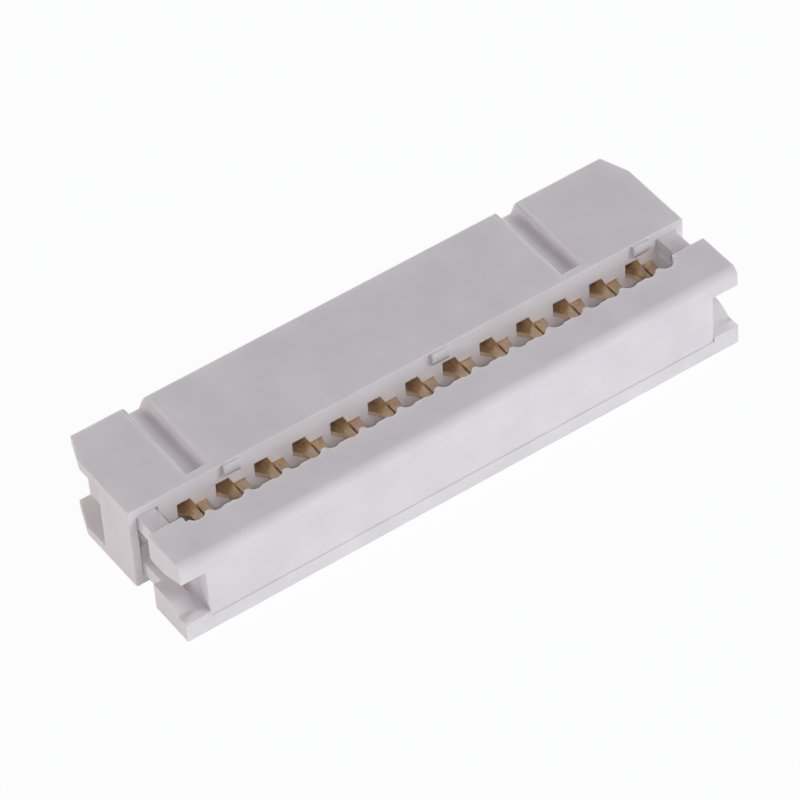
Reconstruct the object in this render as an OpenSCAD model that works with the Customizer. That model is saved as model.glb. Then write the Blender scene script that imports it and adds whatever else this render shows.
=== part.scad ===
// Two-row insulation displacement socket, cover in the open position, all sizes in millimetres.
// X runs along the rows, +Y points out of the mating face, Z is up from the long side it lies on.

/* [Contact grid] */
// Contacts in each row
ways = 13; // [4:1:20]
// Distance between neighbouring contacts of a row
pitch = 2.54; // [2.5:0.02:3]
// Distance between the two rows
row_pitch = 2.54; // [2.5:0.02:2.8]
// Side of the square pin that a contact takes
pin_side = 0.64; // [0.5:0.02:0.7]

/* [Housing] */
// Distance from the last contact's centre to the end
end_margin = 3.58; // [3.54:0.02:5]
// Height of housing and cover
thick = 5.88; // [5.8:0.02:7]
// Depth from the cable face to the mating face
body_depth = 6.96; // [6.8:0.02:9]
// Radius of the long edges at the cable face
edge_r = 0.07; // [0.04:0.01:0.3]
// Radius of the long edges at the mating face
mate_r = 0.08; // [0.04:0.01:0.2]
// Radius of the short edges at the ends
end_r = 0.08; // [0.04:0.01:0.2]
// Length of the lead-in taper at the mating corners
lead_len = 1.98; // [1:0.02:2.6]
// Width of the lead-in taper at the mating corners
lead_w = 0.74; // [0.4:0.02:1]
// Depth of the end posts, from the cable face
post_depth = 3.1; // [3.05:0.02:3.6]
// Thickness of the post's outer wall
post_wall = 0.5; // [0.4:0.02:0.7]
// Depth of the end recess behind the post
recess_w = 1.45; // [1.3:0.02:1.6]
// Top wall over channel and recess
roof_t = 0.6; // [0.5:0.02:0.8]
// Bottom wall under channel and recess
floor_t = 0.7; // [0.5:0.02:0.8]
// Width of the leg channel along the length
channel_w = 1.42; // [1.36:0.02:1.44]
// Width of a groove in the top face, without its rounding
groove_w = 1.34; // [1.2:0.02:1.6]
// Width of the groove's floor
groove_floor_w = 0.66; // [0.4:0.02:0.9]
// Depth of a groove in the top face
groove_d = 0.68; // [0.5:0.02:0.7]
// Distance from the cable face to the groove's end, without its rounding
groove_end = 0.56; // [0.5:0.02:1]
// Slope length of the groove's end
groove_slope = 0.5; // [0.3:0.02:0.6]
// Rounding of the groove's upper edges
groove_r = 0.5; // [0.2:0.02:0.54]
// Width of a pad on the cable face
pad_w = 1.1; // [0.8:0.02:1.2]
// Height of a pad on the cable face
pad_h = 0.74; // [0.6:0.02:0.9]
// How far a pad stands out
pad_out = 0.24; // [0.1:0.02:0.26]
// Distance of a pad from the top face
pad_top = 0.08; // [0.06:0.02:0.3]
// Rounding of a pad's upper edge
pad_r = 0.1; // [0.04:0.02:0.3]
// Width of the lead-in round a pin entry
entry_lead = 0.36; // [0.2:0.02:0.4]
// Wall between the cavities and the mating face
front_wall = 0.46; // [0.44:0.02:0.46]

/* [Contacts] */
// Thickness of the brass sheet
sheet_t = 0.3; // [0.24:0.02:0.34]
// Width of the contact strip
strip_w = 0.9; // [0.8:0.02:0.96]
// Width over the two tines
fork_w = 1.5; // [1.4:0.02:1.6]
// How far the tines stand out of the cable face
tine_out = 1.5; // [1.3:0.02:1.56]
// Length of a pointed tip
tip_len = 0.5; // [0.3:0.02:0.6]
// Narrowing of a tine between the cable face and its tip
tine_taper = 0.12; // [0.04:0.02:0.2]
// Width of the flat end of a tip
tip_flat = 0.16; // [0.1:0.02:0.24]
// Width of the wire slot
wire_slot = 0.14; // [0.12:0.02:0.2]
// Diameter of the relief at the slot's root
root_d = 0.2; // [0.2:0.02:0.3]
// Distance of the relief from the cable face
root_out = 0.17; // [0.16:0.01:0.24]
// Depth of the fork's shoulders in the housing
shoulder_in = 0.95; // [0.7:0.02:1.2]
// How far the fork's sloped shoulder stands out of the cable face
gusset_out = 0.6; // [0.4:0.02:0.7]
// Slope of the cavity's side wall at the cable face
cavity_slope = 0.15; // [0.06:0.01:0.18]
// Width of the spring
spring_w = 0.76; // [0.6:0.02:0.8]
// Rise of the spring into the pin's way
spring_rise = 0.3; // [0.2:0.02:0.34]
// Outer bend radius of the spring
spring_r = 3.9; // [3:0.05:4]
// Distance of the spring's crest from the mating face
spring_back = 2.6; // [2.56:0.02:2.9]
// Side clearance of a contact in its cavity
contact_gap = 0.05; // [0.03:0.01:0.06]

/* [Cover] */
// Depth of the cover
cover_depth = 3.18; // [3:0.02:4]
// Open gap between cover and cable face
open_gap = 1.98; // [1.96:0.02:2.2]
// Gap that stays when the cover is pressed home
closed_gap = 0.08; // [0.06:0.01:0.12]
// Fillet along the top outer edge
cover_fillet = 0.6; // [0.2:0.01:0.8]
// Radius of the cover's other long edges
cover_r = 0.08; // [0.04:0.01:0.2]
// Length of a solid shoulder at each end
shoulder_w = 2.22; // [2.1:0.02:2.3]
// Depth of the cable seat below the shoulders
seat_d = 0.45; // [0.3:0.01:0.5]
// Radius of a wire groove
wire_r = 0.55; // [0.5:0.01:0.58]
// Depth of a wire groove below the seat
wire_d = 0.33; // [0.3:0.01:0.36]
// Width of the low ridge between the wires of two contacts
ridge_w = 0.7; // [0.6:0.01:0.8]
// Depth of the low ridge below the seat
ridge_d = 0.23; // [0.1:0.01:0.26]
// Clearance round the tines in their pockets
pocket_gap = 0.12; // [0.08:0.01:0.12]
// Depth of an end notch along the length
notch_w = 1.67; // [1.4:0.01:1.8]
// Lip over the notch at the outer face
notch_top = 1.31; // [1.1:0.01:1.4]
// Lip under the notch at the outer face
notch_bottom = 1.35; // [1.2:0.01:1.5]
// Narrowing of the notch on its way in, above and below
notch_step = 0.6; // [0.4:0.01:0.7]
// Length of the flat part of the lower lip
notch_flat = 0.9; // [0.5:0.01:1.1]
// Length of the slope on the lower lip
low_slope = 0.8; // [0.5:0.01:1]
// Length of the slope under the upper lip
high_slope = 1.8; // [1.2:0.01:2.1]
// Rounding at both ends of the slope on the lower lip
slope_r = 0.8; // [0.2:0.02:1]
// Width of the low strip along the notch's inner wall
gutter_w = 0.45; // [0.2:0.01:0.6]
// Depth of the panel in the outer face
panel_d = 0.12; // [0.06:0.01:0.16]
// Height of the ledge under the panel
panel_low = 1; // [0.7:0.01:1.2]
// Height of the band over the panel
panel_high = 1.29; // [1:0.01:1.5]
// Height of a prong
prong_h = 1.02; // [0.9:0.01:1.1]
// Length of the prongs inside the open housing
prong_in = 1; // [0.9:0.01:1.05]
// Length of the web inside the open housing
web_in = 0.6; // [0.4:0.01:0.8]
// Thickness of the web between two prongs
web_t = 0.42; // [0.3:0.01:0.6]
// Step from the web's face back to the prongs
web_step = 0.15; // [0.1:0.01:0.2]
// Overlap of web and prongs
web_lap = 0.15; // [0.1:0.01:0.2]
// Clearance of the legs in their channels
leg_gap = 0.05; // [0.04:0.01:0.06]
// How far a catch reaches behind the channel's wall
catch_out = 0.2; // [0.14:0.01:0.22]
// Length of a catch
catch_len = 0.6; // [0.4:0.01:0.6]

/* [Hidden] */
$fn = 48;
eps = 0.02;
travel = open_gap - closed_gap;
total_depth = body_depth + open_gap + cover_depth;
body_len = (ways - 1) * pitch + 2 * end_margin;
half_len = body_len / 2;
face_y = cover_depth + open_gap - total_depth / 2;
mid_z = thick / 2;
fork_x = pitch / 4;
wire_pitch = pitch / 2;
strip_top = mid_z + row_pitch / 2 - pin_side / 2;
strip_low = strip_top - sheet_t;
cavity_w = strip_w + 2 * contact_gap;
wall_low = cavity_w / 2 + cavity_slope;
wall_high = cavity_w / 2 - cavity_slope;
tine_half = fork_w / 2 - tine_taper;
cavity_top = mid_z + row_pitch / 2 + pin_side / 2 + contact_gap;
entry_w = pin_side + 2 * contact_gap;
channel_in = half_len - post_wall - channel_w;
prong_top = thick - roof_t - leg_gap;
prong_low = floor_t + leg_gap;
prong_x = channel_in + leg_gap + web_step;
prong_w = channel_w - 2 * leg_gap - web_step;
catch_margin = 0.1;
groove_cols = [0, ways - 3];
pad_step = 5.5 * pitch;
pad_count = floor((ways - 2) / 5.5 + eps);
seat_half = half_len - shoulder_w;
seat_y = -open_gap - seat_d;
pocket_y = -tine_out - travel - pocket_gap;
outer_y = -open_gap - cover_depth;

function col_x(i) = (i - (ways - 1) / 2) * pitch;

// Half turn about the middle line, which carries the upper row onto the lower row
module turned() {
  translate([0, 0, mid_z])
    rotate([0, 180, 0])
      translate([0, 0, -mid_z])
        children();
}

module both_rows() {
  children();
  turned()
    children();
}

module both_ends() {
  children();
  mirror([1, 0, 0])
    children();
}

// Box from its two opposite corners
module box(a, b) {
  translate(a)
    cube(b - a);
}

// Extrusion along X of a drawing made in Y and Z
module along_x(x0, x1) {
  translate([x0, 0, 0])
    rotate([90, 0, 90])
      linear_extrude(x1 - x0)
        children();
}

// Extrusion along Y of a drawing made in X and Z
module along_y(y0, y1) {
  translate([0, y1, 0])
    rotate([90, 0, 0])
      linear_extrude(y1 - y0)
        children();
}

// Extrusion along Z of a drawing made in X and Y
module along_z(z0, z1) {
  translate([0, 0, z0])
    linear_extrude(z1 - z0)
      children();
}

// Rectangle with one radius at the two corners of its first side and one at those of the opposite side
module soft_rect(a, b, first_r, last_r) {
  translate([a.x + first_r, a.y])
    square([b.x - a.x - first_r - last_r, b.y - a.y]);
  translate([a.x, a.y + first_r])
    square([first_r + eps, b.y - a.y - 2 * first_r]);
  translate([b.x - last_r - eps, a.y + last_r])
    square([last_r + eps, b.y - a.y - 2 * last_r]);
  for (y = [a.y + first_r, b.y - first_r])
    translate([a.x + first_r, y])
      circle(first_r);
  for (y = [a.y + last_r, b.y - last_r])
    translate([b.x - last_r, y])
      circle(last_r);
}

module housing_block() {
  intersection() {
    along_x(-half_len - 1, half_len + 1)
      soft_rect([0, 0], [body_depth, thick], edge_r, mate_r);
    along_y(-1, body_depth + 1)
      soft_rect([-half_len, 0], [half_len, thick], end_r, end_r);
    along_z(-1, thick + 1)
      polygon([
        [-half_len, -1],
        [half_len, -1],
        [half_len, body_depth - lead_len],
        [half_len - lead_w, body_depth],
        [-half_len + lead_w, body_depth],
        [-half_len, body_depth - lead_len]
      ]);
  }
}

// Channel for one pair of legs, the catch slots beside it and the recess behind the post
module end_cuts() {
  box([channel_in, -1, floor_t], [half_len - post_wall, post_depth, thick - roof_t]);
  box([half_len - recess_w, post_depth - eps, floor_t], [half_len + 1, body_depth + 1, thick - roof_t]);
  for (z = [prong_low, prong_top - prong_h])
    box(
      [channel_in - catch_out - leg_gap, prong_in - catch_len - leg_gap, z + catch_margin - leg_gap],
      [channel_in + eps, post_depth, z + prong_h - catch_margin + leg_gap]
    );
}

// Room for one upper contact: its cavity, the seat of its fork and the lead-in of the pin
module contact_cut() {
  box([-cavity_w / 2, shoulder_in - eps, strip_low], [cavity_w / 2, body_depth - front_wall, cavity_top]);
  along_y(-1, shoulder_in)
    polygon([
      [-cavity_w / 2, strip_low],
      [wall_low, strip_low],
      [wall_low, strip_top + contact_gap],
      [wall_high, cavity_top],
      [-cavity_w / 2, cavity_top]
    ]);
  box(
    [fork_x - fork_w / 2 - contact_gap, -1, strip_low],
    [fork_x + fork_w / 2 + contact_gap, shoulder_in, strip_top + contact_gap]
  );
  box([-entry_w / 2, 1, cavity_top - entry_w], [entry_w / 2, body_depth + 1, cavity_top]);
  intersection() {
    along_z(0, thick)
      entry_profile(-entry_w / 2, entry_w / 2);
    along_x(-pitch / 2, pitch / 2)
      mirror([1, -1])
        entry_profile(cavity_top - entry_w, cavity_top);
  }
}

// Funnel drawn at the mating face between two sides of an opening
module entry_profile(a, b) {
  polygon([
    [a - eps, body_depth - entry_lead - eps],
    [b + eps, body_depth - entry_lead - eps],
    [b + entry_lead + eps, body_depth + eps],
    [a - entry_lead - eps, body_depth + eps]
  ]);
}

// Half of a groove's outline from its middle outwards: floor, sloped wall and a rounded upper edge
module half_groove(floor_x, top_x) {
  angle = atan2(groove_d, top_x - floor_x);
  lip = groove_r * tan(angle / 2);
  wall_end = [top_x - lip * cos(angle), thick - lip * sin(angle)];
  polygon([
    [0, thick - groove_d],
    [floor_x, thick - groove_d],
    wall_end,
    [0, wall_end.y]
  ]);
  difference() {
    polygon([
      [0, thick - groove_d],
      wall_end,
      [top_x + lip, thick - eps],
      [top_x + lip, thick + 1],
      [0, thick + 1]
    ]);
    translate([top_x + lip, thick - groove_r])
      circle(groove_r);
  }
}

// Groove of the top face, open at the mating face and closed by a slope near the cable face
module top_groove() {
  open_y = body_depth + 1;
  intersection() {
    along_y(0, open_y)
      for (side = [0, 1])
        mirror([side, 0])
          half_groove(groove_floor_w / 2, groove_w / 2);
    along_x(-groove_w, groove_w)
      translate([open_y, 0])
        mirror([1, 0])
          half_groove(open_y - groove_end - groove_slope, open_y - groove_end);
  }
}

// Low pads under the top edge of the cable face
module pads() {
  pad_z = thick - pad_top;
  for (k = [0:pad_count])
    translate([col_x(ways - 1) - k * pad_step, 0, 0])
      along_x(0, pad_w) {
        translate([-pad_out, pad_z - pad_h])
          square([pad_out + edge_r, pad_h - pad_r]);
        translate([pad_r - pad_out, pad_z - pad_h])
          square([pad_out + edge_r - pad_r, pad_h]);
        translate([pad_r - pad_out, pad_z - pad_r])
          circle(pad_r);
      }
}

module housing() {
  color([0.72, 0.72, 0.74])
    translate([0, face_y, 0])
      difference() {
        union() {
          housing_block();
          pads();
        }
        both_ends()
          end_cuts();
        both_rows()
          for (i = [0:ways - 1])
            translate([col_x(i), 0, 0])
              contact_cut();
        for (i = groove_cols)
          translate([col_x(i) + pitch / 2, 0, 0])
            top_groove();
      }
}

// Outline of the cover across its length
module cover_section() {
  difference() {
    soft_rect([outer_y, 0], [-open_gap, thick], cover_r, cover_r);
    translate([outer_y - 1, thick - cover_fillet])
      square([cover_fillet + 1, cover_fillet + 1]);
  }
  translate([outer_y + cover_fillet, thick - cover_fillet])
    circle(cover_fillet);
}

// Fillet where the slope on the lower lip starts, drawn with that corner at the origin
module slope_fillet() {
  angle = atan2(notch_step, low_slope);
  reach = slope_r * tan(angle / 2);
  difference() {
    polygon([
      [-reach, 0],
      [0, -eps],
      [reach * cos(angle) + eps, reach * sin(angle) - eps],
      [reach * cos(angle), reach * sin(angle)]
    ]);
    translate([-reach, slope_r])
      circle(slope_r);
  }
}

// Notch through one end of the cover, wider at the outer face
module end_notch() {
  along_x(half_len - notch_w, half_len + 1) {
    difference() {
      polygon([
        [outer_y - 1, notch_bottom],
        [outer_y + notch_flat, notch_bottom],
        [outer_y + notch_flat + low_slope, notch_bottom + notch_step],
        [-open_gap + 1, notch_bottom + notch_step],
        [-open_gap + 1, thick - notch_top - notch_step],
        [outer_y + high_slope, thick - notch_top - notch_step],
        [outer_y, thick - notch_top],
        [outer_y - 1, thick - notch_top]
      ]);
      translate([outer_y + notch_flat, notch_bottom])
        slope_fillet();
    }
    translate([outer_y + notch_flat + low_slope, notch_bottom + notch_step])
      rotate(180)
        slope_fillet();
  }
  box([half_len - notch_w, outer_y, notch_bottom], [half_len - notch_w + gutter_w, -open_gap + 1, mid_z]);
}

// Two prongs with their catches and the web between them
module legs() {
  for (z = [prong_low, prong_top - prong_h]) {
    box([prong_x, -open_gap - 0.3, z], [prong_x + prong_w, prong_in, z + prong_h]);
    along_z(z + catch_margin, z + prong_h - catch_margin)
      polygon([
        [prong_x + eps, prong_in - catch_len],
        [channel_in - catch_out, prong_in - catch_len],
        [prong_x, prong_in],
        [prong_x + eps, prong_in]
      ]);
  }
  box(
    [channel_in + leg_gap, -open_gap - 0.3, prong_low + prong_h - web_lap],
    [channel_in + leg_gap + web_t, web_in, prong_top - prong_h + web_lap]
  );
}

module wire_grooves() {
  for (k = [0:2 * ways - 1])
    translate([(k - ways + 0.5) * wire_pitch, seat_y - wire_d + wire_r, -1])
      cylinder(r = wire_r, h = thick + 2);
  for (i = [0:ways - 2])
    translate([col_x(i) + pitch / 2, 0, 0])
      box([-ridge_w / 2, seat_y - ridge_d, -1], [ridge_w / 2, 0, thick + 1]);
}

module tine_pocket() {
  box(
    [fork_x - fork_w / 2 - pocket_gap, pocket_y, strip_low - pocket_gap],
    [fork_x + fork_w / 2 + pocket_gap, 0, strip_top + pocket_gap]
  );
}

module cover() {
  color([0.74, 0.74, 0.76])
    translate([0, face_y, 0]) {
      difference() {
        intersection() {
          along_x(-half_len - 1, half_len + 1)
            cover_section();
          along_y(outer_y - 1, 0)
            soft_rect([-half_len, 0], [half_len, thick], end_r, end_r);
        }
        box([-seat_half, seat_y, -1], [seat_half, 0, thick + 1]);
        wire_grooves();
        both_rows()
          for (i = [0:ways - 1])
            translate([col_x(i), 0, 0])
              tine_pocket();
        both_ends()
          end_notch();
        box(
          [-half_len + notch_w, outer_y - 1, panel_low],
          [half_len - notch_w, outer_y + panel_d, thick - panel_high]
        );
      }
      both_ends()
        legs();
    }
}

// Flat outline of the fork with its wire slot and the shoulder towards the strip
module fork_outline() {
  difference() {
    translate([fork_x, 0])
      polygon([
        [-fork_w / 2, shoulder_in],
        [-fork_w / 2, 0],
        [-tine_half, tip_len - tine_out],
        [-fork_w / 4 - tip_flat / 2, -tine_out],
        [fork_w / 4 + tip_flat / 2, -tine_out],
        [tine_half, tip_len - tine_out],
        [fork_w / 2, 0],
        [fork_w / 2, shoulder_in]
      ]);
    translate([fork_x, 0])
      polygon([
        [-wire_slot / 2, -root_out],
        [-wire_slot / 2, tip_len - tine_out],
        [-fork_w / 4 + tip_flat / 2, -tine_out - eps],
        [fork_w / 4 - tip_flat / 2, -tine_out - eps],
        [wire_slot / 2, tip_len - tine_out],
        [wire_slot / 2, -root_out]
      ]);
    translate([fork_x, -root_out])
      circle(d = root_d);
  }
}

// Bowed spring seen from the side, standing on the strip's level
module spring_outline() {
  crest_y = body_depth - spring_back;
  intersection() {
    translate([crest_y, strip_top + spring_rise - spring_r])
      difference() {
        circle(spring_r, $fn = 96);
        circle(spring_r - sheet_t, $fn = 96);
      }
    translate([crest_y - spring_r, strip_low])
      square([2 * spring_r, spring_rise + 2 * sheet_t]);
  }
}

module contact() {
  foot_y = body_depth - spring_back - sqrt(2 * (spring_r - sheet_t) * spring_rise - pow(spring_rise, 2));
  along_z(strip_low, strip_top) {
    fork_outline();
    polygon([
      [-strip_w / 2, shoulder_in],
      [-strip_w / 2, 0],
      [fork_x - tine_half, -gusset_out],
      [fork_x - tine_half, shoulder_in]
    ]);
    translate([-strip_w / 2, 0])
      square([strip_w, foot_y - sheet_t]);
  }
  along_x(-spring_w / 2, spring_w / 2)
    spring_outline();
  box([-spring_w / 2, foot_y - 2 * sheet_t, strip_low], [spring_w / 2, foot_y, strip_top]);
}

module upper_contact(i) {
  color([0.78, 0.6, 0.32])
    translate([col_x(i - 1), face_y, 0])
      contact();
}

module lower_contact(i) {
  color([0.78, 0.6, 0.32])
    turned()
      translate([col_x(ways - i), face_y, 0])
        contact();
}

housing();
cover();
for (i = [1:ways]) {
  upper_contact(i);
  lower_contact(i);
}
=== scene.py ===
import math

import bmesh
import bpy
from mathutils import Matrix, Vector


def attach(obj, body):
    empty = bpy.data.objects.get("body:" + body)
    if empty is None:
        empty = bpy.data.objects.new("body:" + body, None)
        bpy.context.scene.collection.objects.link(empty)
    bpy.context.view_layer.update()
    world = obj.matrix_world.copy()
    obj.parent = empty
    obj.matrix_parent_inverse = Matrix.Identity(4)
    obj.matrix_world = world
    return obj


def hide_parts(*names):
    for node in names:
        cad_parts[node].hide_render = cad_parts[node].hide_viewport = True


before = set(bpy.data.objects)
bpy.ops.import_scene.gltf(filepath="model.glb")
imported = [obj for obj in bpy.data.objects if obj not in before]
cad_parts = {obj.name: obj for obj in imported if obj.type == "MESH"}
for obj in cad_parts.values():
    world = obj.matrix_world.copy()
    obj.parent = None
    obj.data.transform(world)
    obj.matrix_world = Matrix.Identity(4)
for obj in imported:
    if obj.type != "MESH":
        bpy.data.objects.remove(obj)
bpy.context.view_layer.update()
scene = bpy.context.scene
scene.view_settings.view_transform = "Standard"
mm = 0.001
print("frame loaded,", len(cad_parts), "nodes")

# camera: looks down on the cable gap from the front left, with the long lens of a catalogue picture
cameraSet = {
    "eye": (-111.297, -179.684, 216.122),  # millimetres
    "azimuth": -31.69,  # degrees, like the next two
    "elevation": 45.34,
    "roll": -4.46,
    "lens": 241.03,
    "sensor": 36.0,
    "clip": (0.01, 20.0),  # metres
}


def makeCamera(s):
    a, e, r = (math.radians(s[k]) for k in ("azimuth", "elevation", "roll"))
    back = Vector((math.sin(a) * math.cos(e), -math.cos(a) * math.cos(e), math.sin(e)))
    right = Vector((math.cos(a), math.sin(a), 0.0))
    up = back.cross(right)
    rolledRight = right * math.cos(r) + up * math.sin(r)
    rolledUp = up * math.cos(r) - right * math.sin(r)
    data = bpy.data.cameras.new("camera")
    data.lens, data.sensor_width = s["lens"], s["sensor"]
    data.clip_start, data.clip_end = s["clip"]
    cam = bpy.data.objects.new("camera", data)
    turn = Matrix((rolledRight, rolledUp, back)).transposed().to_4x4()
    cam.matrix_world = Matrix.Translation(Vector(s["eye"]) * mm) @ turn
    scene.collection.objects.link(cam)
    scene.camera = cam


makeCamera(cameraSet)
print("camera set")


# small helpers for node trees
def newMaterial(name):
    mat = bpy.data.materials.new(name)
    mat.use_nodes = True
    tree = mat.node_tree
    return mat, tree, tree.nodes["Principled BSDF"]


# a socket is linked, anything else is set as a plain value
def fill(tree, node, inputs):
    for key, value in inputs.items():
        if isinstance(value, bpy.types.NodeSocket):
            tree.links.new(value, node.inputs[key])
        else:
            node.inputs[key].default_value = value


def addNode(tree, kind, inputs=None, **settings):
    node = tree.nodes.new(kind)
    for key, value in settings.items():
        setattr(node, key, value)
    fill(tree, node, inputs or {})
    return node


def noise(tree, place, size, detail):
    inputs = {"Vector": place, "Scale": 1 / (size * mm), "Detail": detail}
    return addNode(tree, "ShaderNodeTexNoise", inputs).outputs["Fac"]


def colourRamp(tree, factor, places, colours):
    ramp = addNode(tree, "ShaderNodeValToRGB", {"Fac": factor})
    elements = ramp.color_ramp.elements
    while len(elements) < len(places):
        elements.new(0.5)
    for element, place, colour in zip(elements, places, colours):
        element.position = place
        element.color = (*colour, 1.0)
    return ramp.outputs["Color"]


def valueRange(tree, value, low, high):
    node = addNode(tree, "ShaderNodeMapRange", {"Value": value, "To Min": low, "To Max": high})
    return node.outputs["Result"]


# fine relief over corners that are softened in the shading alone
def relief(tree, height, s):
    soft = addNode(tree, "ShaderNodeBevel", {"Radius": s["edge"] * mm}, samples=6)
    bump = addNode(tree, "ShaderNodeBump", {
        "Strength": s["reliefStrength"],
        "Distance": s["reliefHeight"] * mm,
        "Height": height,
        "Normal": soft.outputs["Normal"],
    })
    return bump.outputs["Normal"]


def shade(colour, k):
    return tuple(min(1.0, c * k) for c in colour)


# light grey moulded plastic: clouds from the melt's flow, and the fine grain of a spark-eroded mould
plastic = {
    "colour": (0.72, 0.677, 0.674),
    "cloudSize": 2.6,  # millimetres
    "cloudDetail": 4.0,
    "cloudDepth": 0.035,
    "cloudStops": (0.3, 0.5, 0.7),
    "grainSize": 0.09,  # millimetres
    "grainDetail": 2.0,
    "reliefHeight": 0.006,  # millimetres
    "reliefStrength": 0.35,
    "roughness": (0.54, 0.66),
    "specular": 0.12,
    "matt": 0.9,  # a matt surface throws light straight back
    "scatter": 0.3,
    "scatterRadius": (1.0, 0.8, 0.7),
    "scatterDepth": 0.8,  # millimetres
    "edge": 0.025,  # millimetres, how far the mould's corners are broken
}


def mouldedPlastic(name, s, turn):
    mat, tree, shader = newMaterial(name)
    place = addNode(tree, "ShaderNodeTexCoord").outputs["Object"]
    turned = addNode(tree, "ShaderNodeMapping", {"Vector": place, "Rotation": turn}).outputs["Vector"]
    cloud = noise(tree, turned, s["cloudSize"], s["cloudDetail"])
    grain = noise(tree, turned, s["grainSize"], s["grainDetail"])
    dark, light = (shade(s["colour"], 1 + k * s["cloudDepth"]) for k in (-1, 1))
    fill(tree, shader, {
        "Base Color": colourRamp(tree, cloud, s["cloudStops"], (dark, s["colour"], light)),
        "Roughness": valueRange(tree, cloud, *s["roughness"]),
        "Normal": relief(tree, grain, s),
        "Specular IOR Level": s["specular"],
        "Diffuse Roughness": s["matt"],
        "Subsurface Weight": s["scatter"],
        "Subsurface Radius": s["scatterRadius"],
        "Subsurface Scale": s["scatterDepth"] * mm,
    })
    return mat


# stamped brass: rolling lines along the strip, patches of tarnish, and lighter patches painted in as glints
brass = {
    "colour": (0.98, 0.78, 0.54),
    "tarnish": (0.88, 0.66, 0.43),
    "paintedGlint": 1.1,  # how much lighter the painted glint patches are
    "patchSize": 0.6,  # millimetres
    "patchDetail": 3.0,
    "patchStops": (0.34, 0.52, 0.75),
    "lineSize": 0.03,  # millimetres
    "lineDetail": 2.0,
    "lineStretch": (1.0, 0.06, 1.0),
    "reliefHeight": 0.002,  # millimetres
    "reliefStrength": 0.3,
    "roughness": (0.22, 0.36),
    "edge": 0.012,  # millimetres
}


def stampedBrass(name, s):
    mat, tree, shader = newMaterial(name)
    place = addNode(tree, "ShaderNodeTexCoord").outputs["Object"]
    drawn = addNode(tree, "ShaderNodeMapping", {"Vector": place, "Scale": s["lineStretch"]}).outputs["Vector"]
    patch = noise(tree, place, s["patchSize"], s["patchDetail"])
    line = noise(tree, drawn, s["lineSize"], s["lineDetail"])
    # darkest stop is tarnish, lightest stop is painted glint at random places
    colours = (s["tarnish"], s["colour"], shade(s["colour"], s["paintedGlint"]))
    fill(tree, shader, {
        "Base Color": colourRamp(tree, patch, s["patchStops"], colours),
        "Roughness": valueRange(tree, line, *s["roughness"]),
        "Normal": relief(tree, line, s),
        "Metallic": 1.0,
    })
    return mat


housingPlastic = mouldedPlastic("housingPlastic", plastic, (0.2, 0.1, 0.4))
coverPlastic = mouldedPlastic("coverPlastic", plastic, (0.5, 0.3, 1.1))
contactBrass = stampedBrass("contactBrass", brass)
print("materials set")

# every piece again as one clean skin: its roundings run smooth, its corners stay sharp for the finish to soften
skins = {
    "housing": {"finish": housingPlastic, "slot": "housing_plastic", "body": "socket"},
    "cover": {"finish": coverPlastic, "slot": "cover_plastic", "body": "press_cover"},
    "contact": {"finish": contactBrass, "slot": "contact_brass", "body": "socket"},
}
skinSet = {
    "merge": 0.0005,  # millimetres
    "flatAngle": 0.5,  # degrees, like the next one
    "sharpAngle": 40,
    "faceWeight": 100,
}


def cleanSkin(name, s, k):
    bm = bmesh.new()
    bm.from_mesh(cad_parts[name].data)
    bmesh.ops.remove_doubles(bm, verts=bm.verts, dist=k["merge"] * mm)
    flat = math.radians(k["flatAngle"])
    bmesh.ops.dissolve_limit(bm, angle_limit=flat, verts=bm.verts, edges=bm.edges)
    mesh = bpy.data.meshes.new(name + "_skin")
    bm.to_mesh(mesh)
    bm.free()
    mesh.shade_smooth()
    mesh.set_sharp_from_angle(angle=math.radians(k["sharpAngle"]))
    mesh.materials.append(s["finish"])
    piece = bpy.data.objects.new(name + "_finished", mesh)
    scene.collection.objects.link(piece)
    even = piece.modifiers.new("evenFaces", "WEIGHTED_NORMAL")  # wide flat faces keep their own normal
    even.mode, even.weight, even.keep_sharp = "FACE_AREA", k["faceWeight"], True
    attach(piece, s["body"])
    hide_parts(name)


for name in list(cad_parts):
    cleanSkin(name, skins.get(name, skins["contact"]), skinSet)
print("skins made for", len(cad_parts), "pieces")

# white floor: white to the eye and in reflections, plain diffuse for the light that it throws back
floorSet = {"size": 4.0, "colour": (0.9, 0.9, 0.9), "glow": 0.95}


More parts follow.
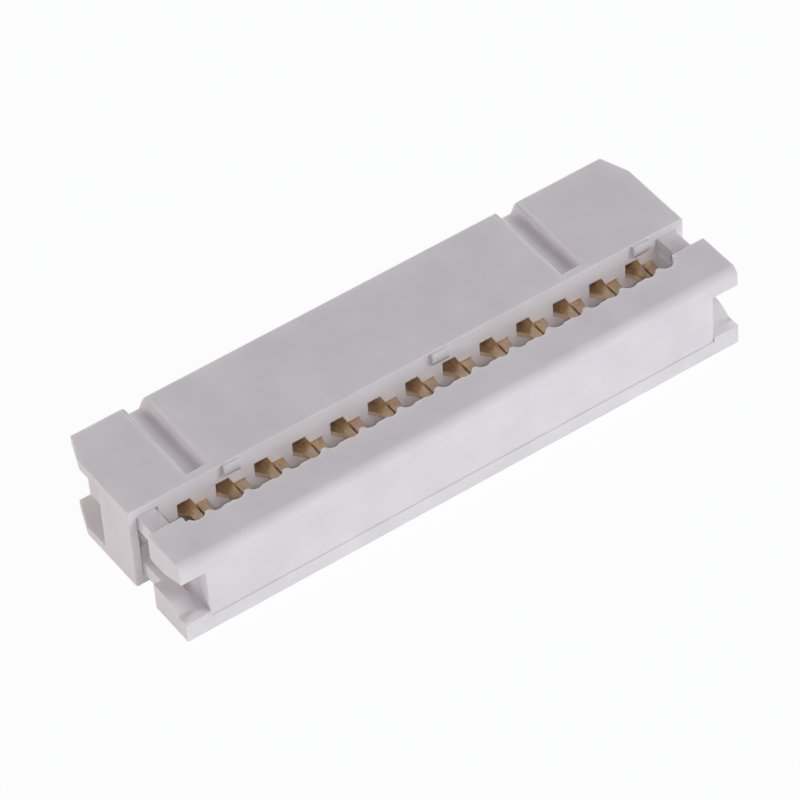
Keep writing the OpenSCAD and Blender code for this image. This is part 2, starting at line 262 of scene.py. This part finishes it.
def makeFloor(s):
    half = s["size"] / 2
    corners = [(-half, -half, 0), (half, -half, 0), (half, half, 0), (-half, half, 0)]
    mesh = bpy.data.meshes.new("floor")
    mesh.from_pydata(corners, [], [(0, 1, 2, 3)])
    floor = bpy.data.objects.new("floor", mesh)
    scene.collection.objects.link(floor)
    mat, tree, shader = newMaterial("whiteFloor")
    fill(tree, shader, {"Base Color": (*s["colour"], 1.0), "Roughness": 1.0, "Specular IOR Level": 0.0})

    def combine(first, second, operation):
        return addNode(tree, "ShaderNodeMath", {0: first, 1: second}, operation=operation).outputs[0]

    rays = addNode(tree, "ShaderNodeLightPath").outputs
    seen = combine(rays["Is Camera Ray"], rays["Is Glossy Ray"], "MAXIMUM")
    seen = combine(seen, rays["Is Transmission Ray"], "MAXIMUM")
    share = combine(seen, s["glow"], "MULTIPLY")
    white = addNode(tree, "ShaderNodeEmission", {"Color": (1.0, 1.0, 1.0, 1.0), "Strength": 1.0})
    mixed = addNode(tree, "ShaderNodeMixShader", {0: share, 1: shader.outputs[0], 2: white.outputs[0]})
    tree.links.new(mixed.outputs[0], tree.nodes["Material Output"].inputs["Surface"])
    mesh.materials.append(mat)


# a small lamp near the camera, soft boxes at the right, low strips in front, at the back left and behind
lights = {
    "byCamera": {
        "place": (-0.31, -0.51, 0.6), "size": (0.06, 0.06),
        "power": 2.39, "tint": (1.0, 0.93, 0.965),
    },
    "rightFront": {
        "place": (0.5, -0.5, 0.5), "size": (0.4, 0.4),
        "power": 2.47, "tint": (0.93, 0.985, 1.0),
    },
    "rightFrontLow": {
        "place": (0.5, -0.65, 0.25), "size": (0.5, 0.2),
        "power": 2.08, "tint": (0.79, 0.91, 1.0),
    },
    "lowFront": {
        "place": (0.0, -0.8, 0.03), "size": (1.0, 0.05),
        "power": 0.91, "tint": (0.92, 0.945, 1.0),
    },
    "leftBackLow": {
        "place": (-0.7, 0.45, 0.12), "size": (0.5, 0.2),
        "power": 3.39, "tint": (1.0, 0.985, 0.95),
    },
    "lowBack": {
        "place": (0.25, 0.8, 0.08), "size": (1.0, 0.08),
        "power": 3.91, "tint": (0.95, 0.97, 1.0),
    },
}
lightAim = Vector((0, 0, 0.003))  # metres, the middle of the part
worldSet = {"strength": 0.095, "colour": (0.5, 0.7, 1.0)}


def makeLights(sets, aim):
    for name, s in sets.items():
        data = bpy.data.lights.new(name, "AREA")
        data.shape, data.energy = "RECTANGLE", s["power"]
        data.size, data.size_y = s["size"]
        data.color = s["tint"]
        lamp = bpy.data.objects.new(name, data)
        lamp.location = s["place"]
        lamp.rotation_euler = (aim - Vector(s["place"])).to_track_quat("-Z", "Y").to_euler()
        scene.collection.objects.link(lamp)


def makeWorld(s):
    world = bpy.data.worlds.new("studio")
    world.use_nodes = True
    background = world.node_tree.nodes["Background"]
    background.inputs["Color"].default_value = (*s["colour"], 1.0)
    background.inputs["Strength"].default_value = s["strength"]
    scene.world = world


makeFloor(floorSet)
makeLights(lights, lightAim)
makeWorld(worldSet)
print("floor and light set")
